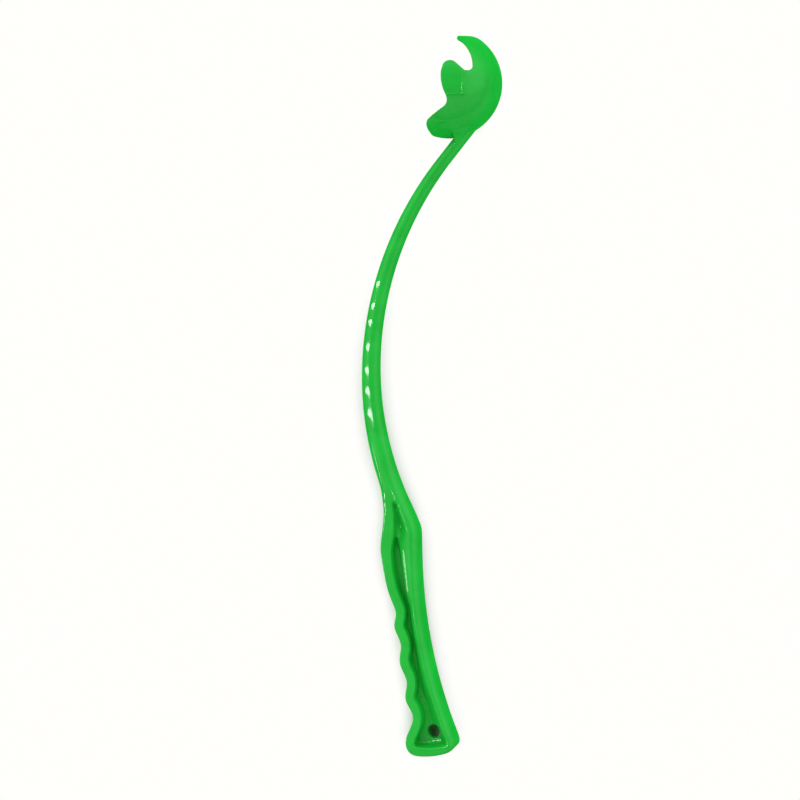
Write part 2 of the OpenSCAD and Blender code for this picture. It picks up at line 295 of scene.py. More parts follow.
# %% [markdown]
# ## The bowed shaft
# The shaft is a bar with rounded sides that follows a bow: two arcs that share their leftmost point, with
# a width and a thickness that grow steadily from the cup to the grip. A curve with a bevel could make it,
# but a bevel has one profile. Geometry Nodes give the exact rule instead: a flat grid is rolled into a
# tube, where one side of the grid runs along the bow and the other runs round the bar's section. In a throw
# the shaft bends; here its mesh is only set in the shared frame.

# %% Sizes of the bow
BOW_LEFT = (-53.0, -187.0)
BOW_R_UPPER = 215.0
BOW_R_LOWER = 200.0
NECK_A = 40.0
BOW_FOOT_A = -16.6
GRIP_A = -13.5
SHAFT_W = (13.6, 8.0)
SHAFT_T = (15.0, 8.6)
SECTION_ROUND = 0.98


def bow_point(a):
    """Middle of the shaft at an angle up the bow."""
    radius = BOW_R_UPPER if a > 0 else BOW_R_LOWER
    across, up = 1 - math.cos(math.radians(a)), math.sin(math.radians(a))
    return np.array(BOW_LEFT) + radius * np.array([across, up])


def along_bow(a, ends):
    """Size that changes steadily from the foot of the bow to the neck."""
    return ends[0] + (ends[1] - ends[0]) * (a - BOW_FOOT_A) / (NECK_A - BOW_FOOT_A)


def bow_right(a):
    """Direction across the shaft, to its right."""
    return heading(-a)


SHAFT_RUN = BOW_R_UPPER * math.radians(NECK_A - BOW_FOOT_A)
print("bow:", round(SHAFT_RUN), "mm from foot to neck")


# %% Helper for Geometry Nodes trees
class FieldTree:
    """A Geometry Nodes tree with named inputs, and short calls for its sums."""

    def __init__(self, name):
        self.tree = bpy.data.node_groups.new(name, "GeometryNodeTree")
        self.tree.interface.new_socket("Geometry", in_out="INPUT", socket_type="NodeSocketGeometry")
        self.tree.interface.new_socket("Geometry", in_out="OUTPUT", socket_type="NodeSocketGeometry")
        self.identifiers = {}
        self.values = {}

    def declare(self, values):
        """Named inputs of the tree, with their values."""
        for name, value in values.items():
            kind = {int: "NodeSocketInt", float: "NodeSocketFloat"}.get(type(value), "NodeSocketMaterial")
            socket = self.tree.interface.new_socket(name, in_out="INPUT", socket_type=kind)
            self.identifiers[name] = socket.identifier
            self.values[name] = value
        self.start = self.tree.nodes.new("NodeGroupInput")

    def given(self, name):
        """Socket of a named input."""
        return self.start.outputs[name]

    def plug(self, value, socket):
        """Sets an input to a number, or links a socket to it."""
        if isinstance(value, (int, float)):
            socket.default_value = value
        else:
            self.tree.links.new(value, socket)

    def sum(self, operation, *terms):
        """Result of one sum, from numbers and sockets."""
        node = add(self.tree, "ShaderNodeMath", operation=operation)
        for term, socket in zip(terms, node.inputs):
            self.plug(term, socket)
        return node.outputs[0]

    def node(self, kind, **inputs):
        """A new node, with its inputs set by name."""
        node = self.tree.nodes.new(kind)
        for key, value in inputs.items():
            self.plug(value, node.inputs[key.replace("_", " ")])
        return node

    def mesh(self, name):
        """Plain mesh of the tree's result."""
        holder = bpy.data.objects.new(name, bpy.data.meshes.new(name))
        bpy.context.scene.collection.objects.link(holder)
        modifier = holder.modifiers.new(name, "NODES")
        modifier.node_group = self.tree
        for key, value in self.values.items():
            modifier[self.identifiers[key]] = value
        shown = holder.evaluated_get(bpy.context.evaluated_depsgraph_get())
        made = bpy.data.meshes.new_from_object(shown)
        bpy.data.objects.remove(holder)
        made.name = name
        return made


# %% Geometry Nodes tree of the shaft
def shaft_tree():
    """Tube along the bow, rolled from a flat grid."""
    f = FieldTree("bowed_shaft")
    f.declare({
        "Rings": 180, "Sides": 56,
        "Left u": BOW_LEFT[0], "Left v": BOW_LEFT[1],
        "Upper radius": BOW_R_UPPER, "Lower radius": BOW_R_LOWER,
        "Foot angle": GRIP_A, "Neck angle": NECK_A,
        "Foot width": along_bow(GRIP_A, SHAFT_W), "Neck width": SHAFT_W[1],
        "Foot thickness": along_bow(GRIP_A, SHAFT_T), "Neck thickness": SHAFT_T[1],
        "Section rounding": SECTION_ROUND, "Material": plastic})
    wall = f.node("GeometryNodeMeshGrid", Size_X=1.0, Size_Y=1.0, Vertices_X=f.given("Sides"),
                  Vertices_Y=f.given("Rings"))
    where = f.node("ShaderNodeSeparateXYZ", Vector=f.node("GeometryNodeInputPosition").outputs[0])
    share = f.sum("ADD", where.outputs["Y"], 0.5)
    round_a = f.sum("MULTIPLY", f.sum("ADD", where.outputs["X"], 0.5), 2 * math.pi)

    def between(foot, neck):
        """Size that changes steadily from the foot to the neck."""
        span = f.sum("SUBTRACT", f.given(neck), f.given(foot))
        return f.sum("MULTIPLY_ADD", span, share, f.given(foot))

    bow_a = f.sum("RADIANS", between("Foot angle", "Neck angle"))
    half_w = f.sum("MULTIPLY", between("Foot width", "Neck width"), 0.5)
    half_t = f.sum("MULTIPLY", between("Foot thickness", "Neck thickness"), 0.5)
    rounding = f.sum("MULTIPLY", f.sum("MINIMUM", half_w, half_t), f.given("Section rounding"))

    def section(wave, half):
        """Rounded side of the section: a circle's wave, pushed out to the bar's half size."""
        swing = f.sum(wave, round_a)
        push = f.sum("MULTIPLY", f.sum("SIGN", swing), f.sum("SUBTRACT", half, rounding))
        return f.sum("MULTIPLY_ADD", swing, rounding, push)

    aside = section("COSINE", half_w)
    upper = f.sum("GREATER_THAN", bow_a, 0.0)
    gain = f.sum("SUBTRACT", f.given("Upper radius"), f.given("Lower radius"))
    radius = f.sum("MULTIPLY_ADD", upper, gain, f.given("Lower radius"))
    cosine = f.sum("COSINE", bow_a)
    sine = f.sum("SINE", bow_a)
    bow_u = f.sum("MULTIPLY_ADD", radius, f.sum("SUBTRACT", 1.0, cosine), f.given("Left u"))
    bow_v = f.sum("MULTIPLY_ADD", radius, sine, f.given("Left v"))
    place = f.node("ShaderNodeCombineXYZ",
                   X=f.sum("MULTIPLY_ADD", aside, cosine, bow_u),
                   Y=f.sum("SUBTRACT", bow_v, f.sum("MULTIPLY", aside, sine)),
                   Z=section("SINE", half_t))
    rolled = f.node("GeometryNodeSetPosition", Geometry=wall.outputs["Mesh"], Position=place.outputs[0])
    closed = f.node("GeometryNodeMergeByDistance", Geometry=rolled.outputs[0], Distance=0.001)
    smooth = f.node("GeometryNodeSetShadeSmooth", Geometry=closed.outputs[0])
    real = f.node("GeometryNodeRealizeInstances", Geometry=smooth.outputs[0])
    painted = f.node("GeometryNodeSetMaterial", Geometry=real.outputs[0], Material=f.given("Material"))
    f.node("NodeGroupOutput", Geometry=painted.outputs[0])
    return f


# %% Mesh of the shaft
def finish_piece(name, mesh):
    """The piece's object, with its mesh moved from the stick's frame to the shared one."""
    mesh.transform(stick_to_row)
    piece = bpy.data.objects.new(name, mesh)
    bpy.context.scene.collection.objects.link(piece)
    return piece


def close_ends(mesh):
    """Flat lids on open ends, and faces that point outwards."""
    bm = bmesh.new()
    bm.from_mesh(mesh)
    open_edges = [edge for edge in bm.edges if edge.is_boundary]
    for edge in open_edges:
        edge.smooth = False
    lids = bmesh.ops.holes_fill(bm, edges=open_edges, sides=0)["faces"]
    for lid in lids:
        lid.smooth = False
    bmesh.ops.triangulate(bm, faces=lids)
    bmesh.ops.recalc_face_normals(bm, faces=bm.faces)
    bm.to_mesh(mesh)
    bm.free()


shaft_mesh = shaft_tree().mesh("shaft_skin")
close_ends(shaft_mesh)
shaft = finish_piece("shaft_skin", shaft_mesh)
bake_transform(shaft)
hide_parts("shaft_lower", "shaft_middle", "shaft_upper")
print("shaft:", len(shaft.data.polygons), "faces")

# %% [markdown]
# ## Lamps that the plastic mirrors
# A row of bright dashes runs down the glossy shaft, and a streak shows in the upper pocket. Both are
# mirrored lamps. To mirror a lamp at a chosen spot, the line to the camera is flipped about the surface's
# normal there, and the lamp is set out along that line. The shaft curves hard across and little along its
# length, so a dash needs a lamp that is long one way and narrow the other; an oval keeps the dashes' ends
# apart. These lamps are left out of the soft light, so that only the gloss shows them.


# %% Lamps for the dashes and the streak
def mirror_lamp(name, place, normal, swing, reach, size, power):
    """Oval lamp that the camera sees mirrored at a place, long in the way the normal swings."""
    point = row_point(*place)
    normal = turn @ Vector(normal).normalized()
    swing = turn @ Vector(swing)
    to_camera = (camera.location - point).normalized()
    away = 2 * normal.dot(to_camera) * normal - to_camera
    long = normal.dot(to_camera) * swing + swing.dot(to_camera) * normal
    long = (long - long.dot(away) * away).normalized()
    light = bpy.data.lights.new(name, "AREA")
    light.shape = "ELLIPSE"
    light.size, light.size_y = size
    light.energy = power
    lamp = bpy.data.objects.new(name, light)
    lamp.location = point + reach * away
    lamp.rotation_mode = "QUATERNION"
    lamp.rotation_quaternion = Matrix((long, away.cross(long), away)).transposed().to_quaternion()
    lamp.visible_diffuse = False
    bpy.context.scene.collection.objects.link(lamp)


SHAFT_TAPER = (SHAFT_T[0] - SHAFT_T[1]) / 2 / SHAFT_RUN
DASH_ANGLES = (15.9, 12.1, 9.2, 5.0, 1.0, -2.6, -6.7)
DASH_LEAN = 12
DASH_LEAN_GAIN = 0.5
for number, a in enumerate(DASH_ANGLES):
    lean = math.radians(DASH_LEAN + DASH_LEAN_GAIN * a)
    lean_out, lean_up = math.sin(lean), math.cos(lean)
    outwards = -bow_right(a)
    up_bow = SHAFT_TAPER * heading(90 - a)
    spot = bow_point(a) + along_bow(a, SHAFT_W) / 2 * lean_out * outwards
    mirror_lamp(f"dash_{number}",
                place=(*spot, along_bow(a, SHAFT_T) / 2 * lean_up),
                normal=(*(lean_out * outwards + up_bow), lean_up),
                swing=(*(lean_up * outwards), -lean_out),
                reach=0.9, size=(1.0, 0.016), power=1.4)
mirror_lamp("shelf_lamp", place=(-29.0, -312.0, 7.0), normal=(-0.45, -0.05, 0.89), swing=(0.89, 0, 0.45),
            reach=2.0, size=(0.4, 0.3), power=4.7)
print("lamps:", len(bpy.data.lights))

# %% [markdown]
# ## Solids as distances
# The grip and the cup are moulded forms: hollows with drafted walls, and edges that are all rounded. Bevels
# and booleans tend to break where several roundings meet. A distance field doesn't: each form is a function
# that is less than zero inside the plastic, forms are joined with max and min, and a rounded max gives
# every edge its radius. A net of quads is then laid through the cells where the field changes sign, and
# each point is pulled on to the true surface.

# %% Distance to an outline
NEAR = 25.0
SHORTEST_RUN_SQUARED = 1e-9


def outline_distance(u, v, outline, batch=2000):
    """Distance in the mid-plane to a closed outline, less than zero inside it and exact within NEAR."""
    u, v = np.broadcast_arrays(u, v)
    points = np.stack([u.ravel(), v.ravel()], 1)
    order = np.argsort(points[:, 1])
    starts = np.array(outline)
    runs = np.roll(starts, -1, 0) - starts
    long = (runs ** 2).sum(1) > SHORTEST_RUN_SQUARED
    starts, runs = starts[long], runs[long]
    tops = np.maximum(starts[:, 1], starts[:, 1] + runs[:, 1])
    feet = tops - np.abs(runs[:, 1])
    found = np.empty(len(points))
    for first in range(0, len(points), batch):
        rows = order[first:first + batch]
        part = points[rows, None]
        close = (tops > part[0, 0, 1] - NEAR) & (feet < part[-1, 0, 1] + NEAR)
        start, run = starts[close], runs[close]
        reach = part - start
        share = np.clip((reach * run).sum(2) / (run ** 2).sum(1), 0, 1)
        gap = np.sqrt(((reach - share[..., None] * run) ** 2).sum(2).min(1))
        crosses = (start[:, 1] <= part[..., 1]) != (start[:, 1] + run[:, 1] <= part[..., 1])
        side = reach[..., 0] * run[:, 1] - reach[..., 1] * run[:, 0]
        inside = (crosses & ((side < 0) == (run[:, 1] > 0))).sum(1) % 2
        found[rows] = np.where(inside, -gap, gap)
    return found.reshape(u.shape)


test_square = [(0, 0), (2, 0), (2, 2), (0, 2)]
print("field in the middle of a 2 mm square:", outline_distance(1.0, 1.0, test_square))


# %% Joining forms
def both(a, b, rounding):
    """Where two solids overlap, with the edge between them rounded."""
    corner = np.hypot(np.maximum(a + rounding, 0), np.maximum(b + rounding, 0))
    return np.minimum(np.maximum(a, b), -rounding) + corner


def joined(a, b, fillet):
    """Two solids as one, with a fillet in the corner between them."""
    return -both(-a, -b, fillet)


def ease(x, start, end):
    """Smooth step from 0 at start to 1 at end."""
    share = np.clip((x - start) / (end - start), 0, 1)
    return share * share * (3 - 2 * share)


def mixed(one, other, share):
    """Value between two others, by a share of 0 to 1."""
    return one + (other - one) * share


print("corner of two walls, rounded by 1 mm:", round(float(both(0.0, 0.0, 1.0)), 3), "mm outside")

# %% A net of quads through a field
PULLS = 3
FLATTEST_SLOPE = 0.25


def slope_of(field, points, reach=0.02):
    """Gradient of a field, which points straight out of its surface."""
    steps = np.eye(3) * reach
    rises = [field(*(points + step).T) - field(*(points - step).T) for step in steps]
    return np.stack(rises, 1) / (2 * reach)


def net_of(field, box, cell):
    """Points and quads of the surface where a field is zero, inside a box."""
    low, high = box
    counts = np.ceil((np.array(high) - low) / cell).astype(int) + 1
    u, v, w = (low[k] + cell * np.arange(counts[k]) for k in range(3))
    values = field(u[:, None, None], v[None, :, None], w[None, None, :])
    solid = values < 0
    cells = counts - 1
    total = int(np.prod(cells))
    sums = np.zeros((total, 3))
    hits = np.zeros(total)
    quads = []
    for axis in range(3):
        ahead = np.roll(solid, -1, axis)
        change = solid != ahead
        change[tuple(slice(-1, None) if k == axis else slice(None) for k in range(3))] = False
        spots = np.argwhere(change)
        near = values[tuple(spots.T)]
        beyond = spots.copy()
        beyond[:, axis] += 1
        far = values[tuple(beyond.T)]
        crossing = spots.astype(float)
        crossing[:, axis] += near / (near - far)
        one, two = (axis + 1) % 3, (axis + 2) % 3
        around = []
        for shift_one, shift_two in ((0, 0), (-1, 0), (-1, -1), (0, -1)):
            cell_at = spots.copy()
            cell_at[:, one] += shift_one
            cell_at[:, two] += shift_two
            real = ((cell_at >= 0) & (cell_at < cells)).all(1)
            index = np.where(real, np.ravel_multi_index(np.clip(cell_at, 0, cells - 1).T, cells), -1)
            around.append(index)
            for k in range(3):
                sums[:, k] += np.bincount(index[real], crossing[real, k], total)
            hits += np.bincount(index[real], minlength=total)
        ring = np.stack(around, 1)
        leaves = solid[tuple(spots.T)]
        ring[~leaves] = ring[~leaves][:, ::-1]
        quads.append(ring[(ring >= 0).all(1)])
    quads = np.concatenate(quads)
    used = np.unique(quads)
    number = np.full(total, -1)
    number[used] = np.arange(len(used))
    points = np.array(low) + cell * sums[used] / hits[used, None]
    for _ in range(PULLS):
        slope = slope_of(field, points)
        pull = field(*points.T) / np.maximum((slope ** 2).sum(1), FLATTEST_SLOPE)
        points -= np.clip(pull, -cell, cell)[:, None] * slope
    return points, number[quads]


# %% From a net to finished pieces
ON_PLANE = 1e-4


def cut(bm, faces, point, normal):
    """Cuts faces along a plane, and leaves both sides in place."""
    edges = {edge for face in faces for edge in face.edges}
    verts = {vert for face in faces for vert in face.verts}
    cut_parts = [*verts, *edges, *faces]
    bmesh.ops.bisect_plane(bm, geom=cut_parts, dist=ON_PLANE, plane_co=point, plane_no=normal)


def part_of(bm, keep, field, name):
    """Mesh of the faces to keep, closed where it was cut, with the field's own slopes as its normals."""
    piece = bm.copy()
    gone = [face for face in piece.faces if not keep(face.calc_center_median())]
    bmesh.ops.delete(piece, geom=gone, context="FACES")
    open_edges = [edge for edge in piece.edges if edge.is_boundary]
    lids = bmesh.ops.holes_fill(piece, edges=open_edges, sides=0)["faces"]
    bmesh.ops.triangulate(piece, faces=lids)
    mesh = bpy.data.meshes.new(name)
    piece.to_mesh(mesh)
    piece.free()
    points = np.array([vert.co for vert in mesh.vertices])
    slopes = slope_of(field, points)
    slopes /= np.linalg.norm(slopes, axis=1)[:, None]
    mesh.shade_smooth()
    mesh.materials.append(plastic)
    made = finish_piece(name, mesh)
    mesh.normals_split_custom_set_from_vertices(slopes @ np.array(turn).T)
    return made


def net_to_bmesh(points, quads):
    """Editable mesh of a net."""
    mesh = bpy.data.meshes.new("net")
    mesh.from_pydata(points.tolist(), [], quads.tolist())
    bm = bmesh.new()
    bm.from_mesh(mesh)
    bpy.data.meshes.remove(mesh)
    return bm


# %% [markdown]
# ## The grip
# The grip is a flat bar with a deep pocket on each side of a middle web, so that the moulding cools evenly.
# Its outline has a finger side with five scalloped grooves and a palm side that sweeps out to the heel. The
# outline comes from a few crests and arcs; the field then adds the thickness, the rounded edges, the
# drafted pockets and the hang hole, and lets the shaft's round section grow into the flat grip.

# %% Sizes of the grip's outline
GRIP_RUN = (5.5, -13.6)
foot_turn = math.radians(BOW_FOOT_A)
upper_centre_u = BOW_LEFT[0] + BOW_R_UPPER
GRIP_AT = np.array([upper_centre_u - BOW_R_UPPER * math.cos(foot_turn) + GRIP_RUN[0],
                    BOW_LEFT[1] + BOW_R_UPPER * math.sin(foot_turn) + GRIP_RUN[1]])
GRIP_TOP_W = 13.4
CRESTS = np.array([(-GRIP_TOP_W / 2, 0), (-6.3, -39.2), (2.3, -86.8),
                   (5.9, -110.5), (9.5, -134.5), (9.3, -163)])
GROOVE_DEPTH = (2.2, 3.3, 2.9, 3.0, 5.4)
GROOVE_LEAN = (0.75, 3.3, 1.0, 1.0, 0.8)
GRIP_FOOT = -170.7
HEEL_R = 7.0
BASE_R = 47.0
BASE_X = 19.5
CORNER_R = 4.5
SHOULDER = np.array([16.2, -26.0])
SHOULDER_R = 9.0
PALM_TOP = -41.0
PALM_R = 315.0
SHAFT_PART_A = -4
print("grip: from", round(GRIP_AT[1], 1), "to", round(GRIP_AT[1] + GRIP_FOOT, 1), "mm up the stick")


# %% Outline of the grip
def groove(number, share):
    """Point along a finger groove, from one crest to the next."""
    dip = GROOVE_DEPTH[number] * math.sin(math.pi * share ** GROOVE_LEAN[number]) ** 2
    return CRESTS[number] * (1 - share) + CRESTS[number + 1] * share + [dip, 0]


def heel_corner(base_c, palm_c):
    """Middle of the heel's palm corner: one radius inside the base and the palm side alike."""
    base_reach = BASE_R - CORNER_R
    palm_reach = PALM_R + CORNER_R
    span = np.linalg.norm(palm_c - base_c)
    along = (base_reach ** 2 - palm_reach ** 2 + span ** 2) / (2 * span)
    ahead = (palm_c - base_c) / span
    aside = np.array([ahead[1], -ahead[0]])
    return base_c + along * ahead + math.sqrt(base_reach ** 2 - along ** 2) * aside


def grip_outline():
    """Grip and foot of the shaft, from the shaft's left side round by the fingers, heel and palm."""
    base_c = np.array([BASE_X, GRIP_FOOT + BASE_R])
    palm_c = np.array([SHOULDER[0] + PALM_R, PALM_TOP])
    corner_c = heel_corner(base_c, palm_c)
    corner_a = angle_of(corner_c - base_c)
    palm_a = angle_of(palm_c - corner_c)
    shoulder_a = angle_of(SHOULDER - [GRIP_TOP_W / 2, 0]) + 90
    shares = np.linspace(0, 1, 16, endpoint=False)
    own = [groove(k, share) for k in range(len(GROOVE_DEPTH)) for share in shares]
    own += arc((CRESTS[-1][0] + HEEL_R, GRIP_FOOT + HEEL_R), HEEL_R, 180, 270, 10)
    own += arc(base_c, BASE_R, -90, corner_a, 10)
    own += arc(corner_c, CORNER_R, corner_a, palm_a, 10)
    own += arc(palm_c, PALM_R, palm_a + 180, 180, 24)
    own += arc(SHOULDER - [SHOULDER_R, 0], SHOULDER_R, 0, shoulder_a, 6)
    own += [np.array([GRIP_TOP_W / 2, 0])]
    shaft_angles = np.linspace(SHAFT_PART_A, BOW_FOOT_A, 12)
    half = [along_bow(a, SHAFT_W) / 2 for a in shaft_angles]
    left = [bow_point(a) - h * bow_right(a) for a, h in zip(shaft_angles, half)]
    right = [bow_point(a) + h * bow_right(a) for a, h in zip(shaft_angles, half)]
    return left + [point + GRIP_AT for point in own] + right[::-1]


def softened(outline, spacing=1.0, passes=8):
    """Closed outline with evenly spaced points and its corners eased."""
    points = np.array(outline + outline[:1])
    lengths = np.hypot(*np.diff(points, axis=0).T)
    along = np.concatenate([[0], np.cumsum(lengths)])
    stops = np.linspace(0, along[-1], int(along[-1] / spacing), endpoint=False)
    points = np.stack([np.interp(stops, along, points[:, k]) for k in range(2)], 1)
    for _ in range(passes):
        points = (np.roll(points, 1, 0) + 2 * points + np.roll(points, -1, 0)) / 4
    return points


GRIP_OUTLINE = softened(grip_outline())
print("grip outline:", len(GRIP_OUTLINE), "points")

# %% Sizes of the grip's body
GRIP_HALF_T = 10.75
EDGE_R = 1.0
PALM_EDGE_R = 6.0
EDGE_SPARE = 0.5
PALM_SPARE = 0.9
RIM_W = 5.4
PALM_RIM_W = 3.4
TOP_RIM_SPARE = 2.1
GRIP_RIM_R = 0.6
PALM_RIM_R_GAIN = 1.6
POCKET_R = (1.5, 5.5)
WEB_HALF = 2.0
POCKET_OVER = 1
DRAFT = 0.06
PALM_DRAFT = 0.7
HEEL_DRAFT_CUT = 0.4
TOP_DRAFT_CUT = 0.5
SHELF_DRAFT = 1.1
CREASE_TILT = 0.16
CREASE_INSET = 1.0
CREASE_DRIFT = 0.07
CREASE_DRIFT_RUN = 40
CREASE_BOW_END = 0.5
HANG_R = 4.5
HANG_EDGE_R = 0.5
MIDDLE_AT = (-33.5, -301)
MIDDLE_LEAN = 0.157
PALM_TURN = (2, 8)
BASE_PALM = 0.3
CORNER_RUN = 5

# Each pair gives two places up the stick: where a change starts and where it is complete.
FLAT_FROM_ROUND = (-240, -285)
THICKER = (-236, -320)
WIDER_TURN = (-392, -412)
CREASE_STARTS = (-236, -250)
CREASE_ENDS = (-285, -265)
CREASE_TOP = -250
POCKET_ENDS = (-271.5, -266)
HEEL_DRAFT = (-385, -400)
TOP_DRAFT = (-300, -278)
SHELF_STARTS = (-338, -324)
SHELF_ENDS = (-284, -298)
TOP_RIM = (-315, -288)
hang_hole = stick_to_row.inverted() @ Vector(frame["record"]["mounts"][0]["pos_m"])
HANG_C = np.array(hang_hole[:2])
BASE_C = GRIP_AT + [BASE_X, GRIP_FOOT + BASE_R]
PALM_C = GRIP_AT + [SHOULDER[0] + PALM_R, PALM_TOP]
print("hang hole at", HANG_C.round(1), "with radius", HANG_R)


# %% Field of the grip
def palm_share(u, v):
    """How far a place belongs to the palm side: 0 at the fingers and 1 at the palm."""
    middle_u = MIDDLE_AT[0] - MIDDLE_LEAN * (v - MIDDLE_AT[1])
    turn_run = mixed(*PALM_TURN, ease(v, *WIDER_TURN))
    palm = ease(u, middle_u - turn_run, middle_u + turn_run)
    base_gap = v - BASE_C[1] + np.sqrt(np.maximum(BASE_R ** 2 - (u - BASE_C[0]) ** 2, 0))
    palm_gap = np.hypot(u - PALM_C[0], v - PALM_C[1]) - PALM_R
    return palm * mixed(BASE_PALM, 1, ease(base_gap - palm_gap, -CORNER_RUN, CORNER_RUN))


def crease_drop(u, v):
    """How far the face tilts down past the crease, where the shaft's edge runs on to the grip."""
    down_bow = np.clip((BOW_LEFT[1] - v) / BOW_R_LOWER, 0, CREASE_BOW_END)
    crease = BOW_LEFT[0] + BOW_R_LOWER * (1 - np.sqrt(1 - down_bow ** 2)) + CREASE_INSET
    crease = crease + CREASE_DRIFT * np.clip(CREASE_TOP - v, 0, CREASE_DRIFT_RUN)
    crease_share = ease(v, *CREASE_STARTS) * ease(v, *CREASE_ENDS)
    return CREASE_TILT * crease_share * np.maximum(u - crease, 0)


def palm_slope(v):
    """Slope of the pocket's palm wall, which is gentle at the shelf."""
    slope = PALM_DRAFT * (1 - HEEL_DRAFT_CUT * ease(v, *HEEL_DRAFT))
    slope = slope * (1 - TOP_DRAFT_CUT * ease(v, *TOP_DRAFT))
    return slope + SHELF_DRAFT * ease(v, *SHELF_STARTS) * ease(v, *SHELF_ENDS)


def grip_field(u, v, w):
    """Bar with rounded edges, less its two pockets and the hang hole."""
    side = outline_distance(u, v, GRIP_OUTLINE)
    palm = palm_share(u, v)
    flat = ease(v, *FLAT_FROM_ROUND)
    depth = np.abs(w)
    half_t = mixed(along_bow(GRIP_A, SHAFT_T) / 2, GRIP_HALF_T, ease(v, *THICKER))
    shaft_edge = SECTION_ROUND * along_bow(GRIP_A, SHAFT_W) / 2
    edge_r = mixed(shaft_edge, mixed(EDGE_R, PALM_EDGE_R, palm), flat)
    face = half_t - crease_drop(u, v)
    bar = both(side - (EDGE_SPARE + PALM_SPARE * palm) * flat, depth - face, edge_r)
    floor_at = WEB_HALF + (half_t - WEB_HALF + POCKET_OVER) * ease(v, *POCKET_ENDS)
    draft = mixed(DRAFT, palm_slope(v), palm)
    rim_w = RIM_W + TOP_RIM_SPARE * ease(v, *TOP_RIM) + (PALM_RIM_W - RIM_W) * palm
    pocket = both(side + rim_w + draft * (half_t - depth), floor_at - depth, mixed(*POCKET_R, palm))
    hollow = both(bar, -pocket, GRIP_RIM_R + PALM_RIM_R_GAIN * palm)
    hole = HANG_R - np.hypot(u - HANG_C[0], v - HANG_C[1])
    return both(hollow, hole, HANG_EDGE_R)


print("gap from the hang hole's middle to the plastic:", round(float(grip_field(*HANG_C, 0.0)), 2), "mm")

# %% Mesh of the grip
GRIP_BOX = ((-58.0, -436.0, -12.0), (8.0, -226.0, 12.0))
GRIP_CELL = 0.7
grip_points, grip_quads = net_of(grip_field, GRIP_BOX, GRIP_CELL)
grip_bm = net_to_bmesh(grip_points, grip_quads)
grip_top = bow_point(GRIP_A)
shaft_way = np.array([math.sin(math.radians(GRIP_A)), math.cos(math.radians(GRIP_A))])
cut(grip_bm, grip_bm.faces[:], (*grip_top, 0), (*shaft_way, 0))


def below_shaft(c):
    """Whether a place is on the grip's side of the cut."""
    return (np.array(c[:2]) - grip_top) @ shaft_way < 0


grip = part_of(grip_bm, below_shaft, grip_field, "grip_skin")
grip_bm.free()
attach(grip, "grip")
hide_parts("grip_frame", "grip_web")
print("grip:", len(grip.data.polygons), "faces")

# %% [markdown]
# ## The ball cup
# The cup is part of a hollow ball, cut by one outline seen from the side: the crescent of the top claw, the
# notch under it, the side claws, the bay and the long lower lip. The side claws are raised pads, and the
# shaft runs into the back of the cup between two gussets. The whole head is one field, so all of it blends;
# it is cut into its flexing pieces afterwards, where the top claw and the lip spring from the bowl.

# %% Sizes of the mouth's outline
FAR = 120.0
CRESCENT_C = (0.2, 5.1)
CRESCENT_R = 21.8
CRESCENT_SPAN = (71, 6.6)
NOTCH_C = np.array([19.3, 6.0])
NOTCH_R = 2.7
NOTCH_FLAT = 1.6
SIDE_TIP_C = (9.1, 5.0)
SIDE_TIP_R = 4.6
SIDE_TIP_SPAN = (45, 172)
SIDE_FOOT = 11.7
SIDE_EDGE_C = np.array([30.3, -0.3])
SIDE_EDGE_R = 26.7
SIDE_EDGE_TOP_A = 173
BAY_C = np.array([1.5, -14.0])
BAY_R = 4.9
BAY_TOP_A = 15
LIP_C = np.array([-4.9, -29.6])
LIP_R = 5.6
LIP_END_A = 200
TOP_ROOT_A = angle_of(NOTCH_C)
LIP_ROOT_A = angle_of(BAY_C)
TONGUE_U = 8.3
print("rounding of the lip's nose:", LIP_R, "mm")


# %% Outline of the mouth
def mouth_outline():
    """Side view of the cup's plastic, from the top claw's tip down to the lip and round the back."""
    foot_a = 180 + math.degrees(math.asin((SIDE_FOOT + SIDE_EDGE_C[1]) / SIDE_EDGE_R))
    span = BAY_C - LIP_C
    lip_a = angle_of(span) + math.degrees(math.acos((LIP_R + BAY_R) / np.linalg.norm(span)))
    line = [np.array([TONGUE_U, FAR])]
    line += arc(CRESCENT_C, CRESCENT_R, *CRESCENT_SPAN, 20)
    line += arc(NOTCH_C, NOTCH_R, TOP_ROOT_A, -90, 12)
    line += [NOTCH_C - [NOTCH_FLAT, NOTCH_R]]
    line += arc(SIDE_TIP_C, SIDE_TIP_R, *SIDE_TIP_SPAN, 14)
    line += arc(SIDE_EDGE_C, SIDE_EDGE_R, SIDE_EDGE_TOP_A, foot_a, 12)
    line += arc(BAY_C, BAY_R, BAY_TOP_A, lip_a - 180, 14)
    line += arc(LIP_C, LIP_R, lip_a, LIP_END_A, 14)
    line += [np.array(corner) for corner in ((LIP_C[0] - LIP_R, -FAR), (FAR, -FAR), (FAR, FAR))]
    return line


MOUTH = mouth_outline()
print("mouth outline:", len(MOUTH), "points")

# %% Gussets and neck
CUP_IR = 32.0
CUP_OR = 34.0
WALL_MIDDLE = (CUP_IR + CUP_OR) / 2
NECK_AT = bow_point(NECK_A)
NECK_WAY = np.array([math.sin(math.radians(NECK_A)), math.cos(math.radians(NECK_A))])
NECK_RUN = 36
NECK_FILLET = 0.6
GUSSET = {"front": (5.7, -29.8, 15.6), "back": (20.6, -24.6, 12.4), "foot": (5.7, -40.0, 3.6)}
GUSSET_CORE = (10, -32, 0)
GUSSET_R = 0.5
GUSSET_FRONT_R = 0.4


def plane_distance(a, b, c, inside):
    """Function for the distance to the plane through three points, less than zero on the inside."""
    a, b, c = (np.array(point, float) for point in (a, b, c))
    normal = np.cross(b - a, c - a)
    normal /= np.linalg.norm(normal)
    normal *= -np.sign(normal @ (np.array(inside) - a))
    return lambda u, v, w: (u - a[0]) * normal[0] + (v - a[1]) * normal[1] + (w - a[2]) * normal[2]


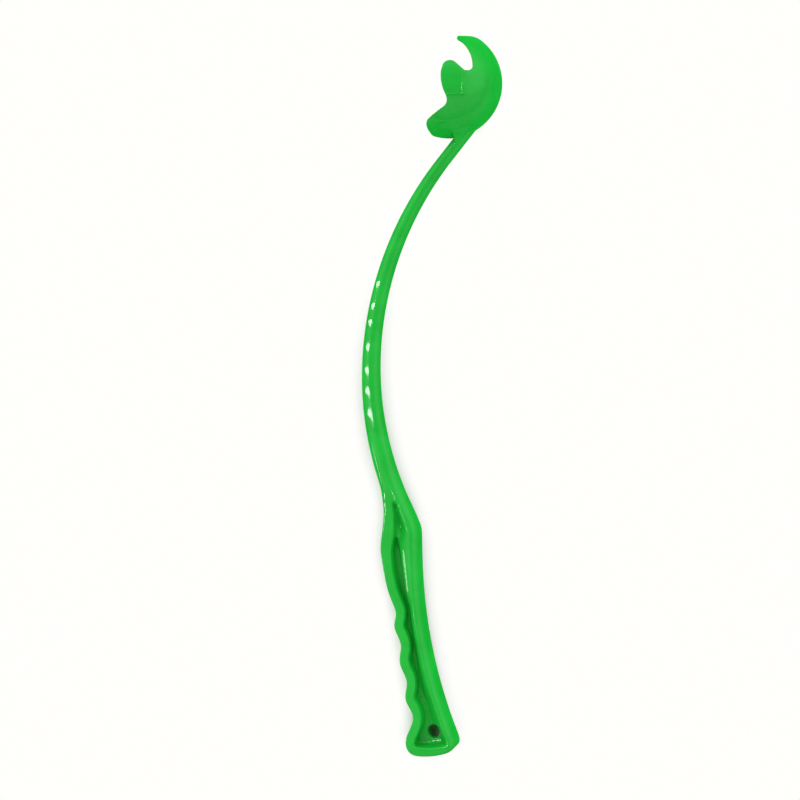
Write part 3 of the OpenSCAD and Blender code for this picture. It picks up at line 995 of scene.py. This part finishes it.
far_back = np.array(GUSSET["back"]) * (1, 1, -1)
gusset_side = plane_distance(GUSSET["front"], GUSSET["back"], GUSSET["foot"], GUSSET_CORE)
gusset_back = plane_distance(GUSSET["back"], far_back, GUSSET["foot"], GUSSET_CORE)
gusset_top = plane_distance(GUSSET["back"], far_back, GUSSET["front"], GUSSET_CORE)


def stem_field(u, v, w, reach):
    """Neck of the shaft and its two gussets, outside the middle of the cup's wall."""
    depth = np.abs(w)
    wedge = both(gusset_side(u, v, depth), gusset_back(u, v, w), GUSSET_R)
    wedge = both(wedge, GUSSET["front"][0] - u, GUSSET_FRONT_R)
    wedge = np.maximum(np.maximum(wedge, gusset_top(u, v, w)), WALL_MIDDLE - reach)
    along = (u - NECK_AT[0]) * NECK_WAY[0] + (v - NECK_AT[1]) * NECK_WAY[1]
    aside = (u - NECK_AT[0]) * NECK_WAY[1] - (v - NECK_AT[1]) * NECK_WAY[0]
    rounding = SECTION_ROUND * SHAFT_W[1] / 2
    neck = both(np.abs(aside) - SHAFT_W[1] / 2, depth - SHAFT_T[1] / 2, rounding)
    neck = np.maximum(np.maximum(neck, WALL_MIDDLE - reach), along - NECK_RUN)
    return joined(neck, wedge, NECK_FILLET)


print("neck joins the shaft at", NECK_AT.round(1))

# %% Field of the cup
BOWL_C = np.array([0.9, -0.3])
RIM_R = 0.6
STEM_FILLET = 0.5
TONGUE_FOOT = 15
TONGUE_R = 1.5
TONGUE_BACK = 2.3
TONGUE_HALF_W = 20.0
TONGUE_HOOK = 3.2
HOOK_ACROSS = (22, 8)
HOOK_UP = (12, 24)
LIP_FLARE = 0.5
FLARE_ACROSS = (12, 0)
FLARE_DOWN = (-16, -28)
PAD_RISE = 0.6
PAD_TOP = (13, 11)
PAD_STEP = 0.3
PAD_ROOT = 16.4
PAD_ROOT_LEAN = 0.06
RAMP_W = 0.5
RAMP_GAIN = 0.05
FOOT_LINE_ENDS = (18.5, 17)
BEAD_RISE = 0.5
BEAD_HALF = 0.5


def bead(distance):
    """Height of a thin raised line, at a distance from its middle."""
    return BEAD_RISE * np.exp(-(distance / BEAD_HALF) ** 2)


def pad_lift(u, v):
    """Height of a side claw's pad above the bowl, with the thin lines along its edges."""
    claw = ease(v, *PAD_TOP) * ease(v, -SIDE_FOOT - PAD_STEP, -SIDE_FOOT + PAD_STEP)
    pad_root = PAD_ROOT + PAD_ROOT_LEAN * (v + SIDE_FOOT)
    ramp_end = pad_root + RAMP_GAIN * (v + SIDE_FOOT) + RAMP_W
    lines = claw * (bead(u - pad_root) + bead(u - ramp_end))
    lines = lines + bead(v + SIDE_FOOT) * ease(u, *FOOT_LINE_ENDS)
    return PAD_RISE * claw * ease(u, ramp_end, pad_root) + lines


def head_field(u, v, w):
    """Hollow ball inside the mouth's outline, with the pads, the hooked tongue, the lip and the stem."""
    side = outline_distance(u, v, MOUTH)
    tip = TONGUE_U + TONGUE_BACK * (w / TONGUE_HALF_W) ** 2 - u
    side = np.where(v > TONGUE_FOOT, both(side, tip, TONGUE_R), side)
    hooked = v + TONGUE_HOOK * ease(u, *HOOK_ACROSS) * ease(v, *HOOK_UP)
    hooked = hooked + LIP_FLARE * ease(u, *FLARE_ACROSS) * ease(v, *FLARE_DOWN)
    reach = np.sqrt((u - BOWL_C[0]) ** 2 + (hooked - BOWL_C[1]) ** 2 + w * w)
    shell = both(both(reach - CUP_OR - pad_lift(u, v), side, RIM_R), CUP_IR - reach, RIM_R)
    return joined(shell, stem_field(u, v, w, reach), STEM_FILLET)


print("gap from the ball's centre to the plastic:", round(float(head_field(0.0, 0.0, 0.0)), 1), "mm")

# %% Regions of the head
TOP_CLAW_FOOT = 12
BACK_OF_CUP = 20
LIP_BACK = 8
SHELL_REACH = 35
NECK_ZONE = -40
top_way = heading(TOP_ROOT_A)
lip_way = heading(LIP_ROOT_A)


def above_notch(c):
    """Whether a place is above the line from the ball's centre through the notch."""
    return c[1] * top_way[0] - c[0] * top_way[1] > 0


def is_top_claw(c):
    """Whether a place on the head belongs to the top claw."""
    return c[1] > TOP_CLAW_FOOT or (c[0] > BACK_OF_CUP and above_notch(c))


def is_lip(c):
    """Whether a place on the head belongs to the lower lip."""
    return c.length < SHELL_REACH and c[0] * lip_way[1] - c[1] * lip_way[0] > 0


def is_cup(c):
    """Whether a place on the head belongs to the bowl, a side claw or the neck."""
    past_neck = (np.array(c[:2]) - NECK_AT) @ NECK_WAY > 0
    return past_neck and not is_top_claw(c) and not is_lip(c)


print("cuts at", round(TOP_ROOT_A, 1), "and", round(LIP_ROOT_A, 1), "degrees round the ball")


# %% Mesh of the cup, cut into its flexing pieces
def faces_where(bm, test):
    """Faces whose middles pass a test."""
    return [face for face in bm.faces if test(face.calc_center_median())]


HEAD_BOX = ((-12.0, -54.0, -36.0), (36.0, 36.0, 36.0))
HEAD_CELL = 0.5
head_points, head_quads = net_of(head_field, HEAD_BOX, HEAD_CELL)
head_bm = net_to_bmesh(head_points, head_quads)
near_neck = faces_where(head_bm, lambda c: c[1] < NECK_ZONE)
cut(head_bm, near_neck, (*NECK_AT, 0), (*NECK_WAY, 0))
near_notch = faces_where(head_bm, lambda c: c[0] > BACK_OF_CUP)
cut(head_bm, near_notch, (0, 0, 0), (-top_way[1], top_way[0], 0))
near_lip = faces_where(head_bm, lambda c: c[0] < LIP_BACK and c.length < SHELL_REACH)
cut(head_bm, near_lip, (0, 0, 0), (lip_way[1], -lip_way[0], 0))
cup = part_of(head_bm, is_cup, head_field, "cup_skin")
top_claw = part_of(head_bm, is_top_claw, head_field, "top_claw_skin")
lip = part_of(head_bm, is_lip, head_field, "lower_lip_skin")
head_bm.free()
print("cup, claw, lip:", [len(piece.data.polygons) for piece in (cup, top_claw, lip)], "faces")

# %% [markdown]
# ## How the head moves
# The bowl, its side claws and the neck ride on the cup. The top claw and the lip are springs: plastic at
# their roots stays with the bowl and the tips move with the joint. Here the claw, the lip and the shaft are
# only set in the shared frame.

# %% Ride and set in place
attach(cup, "cup")
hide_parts("neck", "cup_bowl", "left_claw", "right_claw")
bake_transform(top_claw)
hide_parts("top_claw")
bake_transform(lip)
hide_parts("lower_lip")
print("blended:", [piece.name for piece in (shaft, top_claw, lip)])
